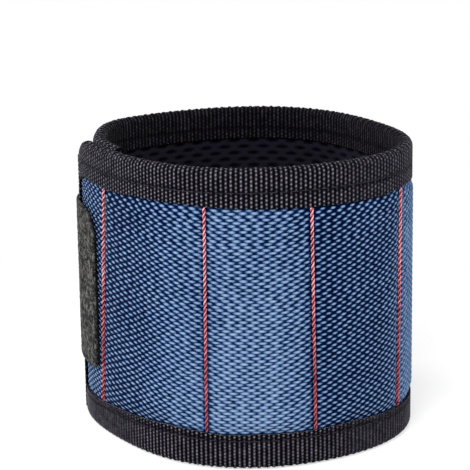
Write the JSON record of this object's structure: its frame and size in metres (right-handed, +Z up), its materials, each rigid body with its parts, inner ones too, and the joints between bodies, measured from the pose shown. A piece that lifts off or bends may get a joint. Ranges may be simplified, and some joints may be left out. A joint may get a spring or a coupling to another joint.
{
  "type": "magnetic wristband",
  "caption": "Padded woven band that closes round the wrist with a hook and loop strap and holds small steel parts on magnets inside its panels.",
  "frame": {"origin": "middle of the closed band's box, at the lower rim", "axes": "+Z up across the band's width, -Y towards the middle panel in front, +X to the right of it"},
  "size_m": [0.104, 0.1056, 0.089],
  "materials": {
    "woven_nylon": "matte",
    "binding_tape": "matte",
    "air_mesh": "matte",
    "foam": "matte",
    "magnet": "satin",
    "strap": "matte",
    "hook": "matte",
    "loop": "matte"
  },
  "bodies": {
    "panel_2": {"outer_fabric_panel_2": "woven_nylon", "foam_core_panel_2": "foam", "mesh_lining_panel_2": "air_mesh", "top_tape_panel_2": "binding_tape", "bottom_tape_panel_2": "binding_tape", "magnet_2_1": "magnet", "magnet_2_2": "magnet", "magnet_2_3": "magnet"},
    "left_tail": {"outer_fabric_left_tail": "woven_nylon", "foam_core_left_tail": "foam", "mesh_lining_left_tail": "air_mesh", "top_tape_left_tail": "binding_tape", "bottom_tape_left_tail": "binding_tape", "end_tape_left_tail": "binding_tape", "loop_patch": "loop"},
    "panel_1": {"outer_fabric_panel_1": "woven_nylon", "foam_core_panel_1": "foam", "mesh_lining_panel_1": "air_mesh", "top_tape_panel_1": "binding_tape", "bottom_tape_panel_1": "binding_tape", "magnet_1_1": "magnet", "magnet_1_2": "magnet", "magnet_1_3": "magnet"},
    "panel_3": {"outer_fabric_panel_3": "woven_nylon", "foam_core_panel_3": "foam", "mesh_lining_panel_3": "air_mesh", "top_tape_panel_3": "binding_tape", "bottom_tape_panel_3": "binding_tape", "magnet_3_1": "magnet", "magnet_3_2": "magnet", "magnet_3_3": "magnet"},
    "panel_4": {"outer_fabric_panel_4": "woven_nylon", "foam_core_panel_4": "foam", "mesh_lining_panel_4": "air_mesh", "top_tape_panel_4": "binding_tape", "bottom_tape_panel_4": "binding_tape", "magnet_4_1": "magnet", "magnet_4_2": "magnet", "magnet_4_3": "magnet"},
    "panel_5": {"outer_fabric_panel_5": "woven_nylon", "foam_core_panel_5": "foam", "mesh_lining_panel_5": "air_mesh", "top_tape_panel_5": "binding_tape", "bottom_tape_panel_5": "binding_tape", "magnet_5_1": "magnet", "magnet_5_2": "magnet", "magnet_5_3": "magnet"},
    "inner_tail": {"outer_fabric_inner_tail": "woven_nylon", "foam_core_inner_tail": "foam", "mesh_lining_inner_tail": "air_mesh", "top_tape_inner_tail": "binding_tape", "bottom_tape_inner_tail": "binding_tape", "end_tape_inner_tail": "binding_tape", "strap_sewn_end": "strap"},
    "strap": {"strap": "strap", "hook_strip": "hook"},
    "strap_tip": {"strap_tip": "strap", "hook_strip_tip": "hook"}
  },
  "joints": [
    {"name": "band_open", "type": "hinge", "parent": "panel_2", "child": "panel_3", "pos_m": [0.01964, -0.04833, 0.0445], "axis": [0, 0, -1], "range_deg": [0, 20]},
    {"name": "stitch_line_4_open", "type": "hinge", "parent": "panel_3", "child": "panel_4", "pos_m": [0.04669, -0.02556, 0.0445], "axis": [0, 0, -1], "range_deg": [0, 20]},
    {"name": "stitch_line_5_open", "type": "hinge", "parent": "panel_4", "child": "panel_5", "pos_m": [0.04864, 0.00872, 0.0445], "axis": [0, 0, -1], "range_deg": [0, 20]},
    {"name": "stitch_line_6_open", "type": "hinge", "parent": "panel_5", "child": "inner_tail", "pos_m": [0.03288, 0.03834, 0.0445], "axis": [0, 0, -1], "range_deg": [0, 20]},
    {"name": "stitch_line_2_open", "type": "hinge", "parent": "panel_2", "child": "panel_1", "pos_m": [-0.01242, -0.04967, 0.0445], "axis": [0, 0, 1], "range_deg": [0, 16]},
    {"name": "stitch_line_1_open", "type": "hinge", "parent": "panel_1", "child": "left_tail", "pos_m": [-0.04346, -0.01764, 0.0445], "axis": [0, 0, 1], "range_deg": [0, 16]},
    {"name": "strap_peel", "type": "hinge", "parent": "inner_tail", "child": "strap", "pos_m": [-0.03701, 0.03573, 0.0445], "axis": [0, 0, -1], "range_deg": [0, 100]},
    {"name": "strap_tip_peel", "type": "hinge", "parent": "strap", "child": "strap_tip", "pos_m": [-0.05006, -0.00603, 0.0445], "axis": [0, 0, -1], "range_deg": [0, 110]}
  ],
  "couplings": [
    {"joint": "stitch_line_4_open", "follows": "band_open", "ratio": 1},
    {"joint": "stitch_line_5_open", "follows": "band_open", "ratio": 1},
    {"joint": "stitch_line_6_open", "follows": "band_open", "ratio": 1},
    {"joint": "stitch_line_2_open", "follows": "band_open", "ratio": 0.8},
    {"joint": "stitch_line_1_open", "follows": "band_open", "ratio": 0.8},
    {"joint": "strap_peel", "follows": "band_open", "ratio": 5}
  ]
}
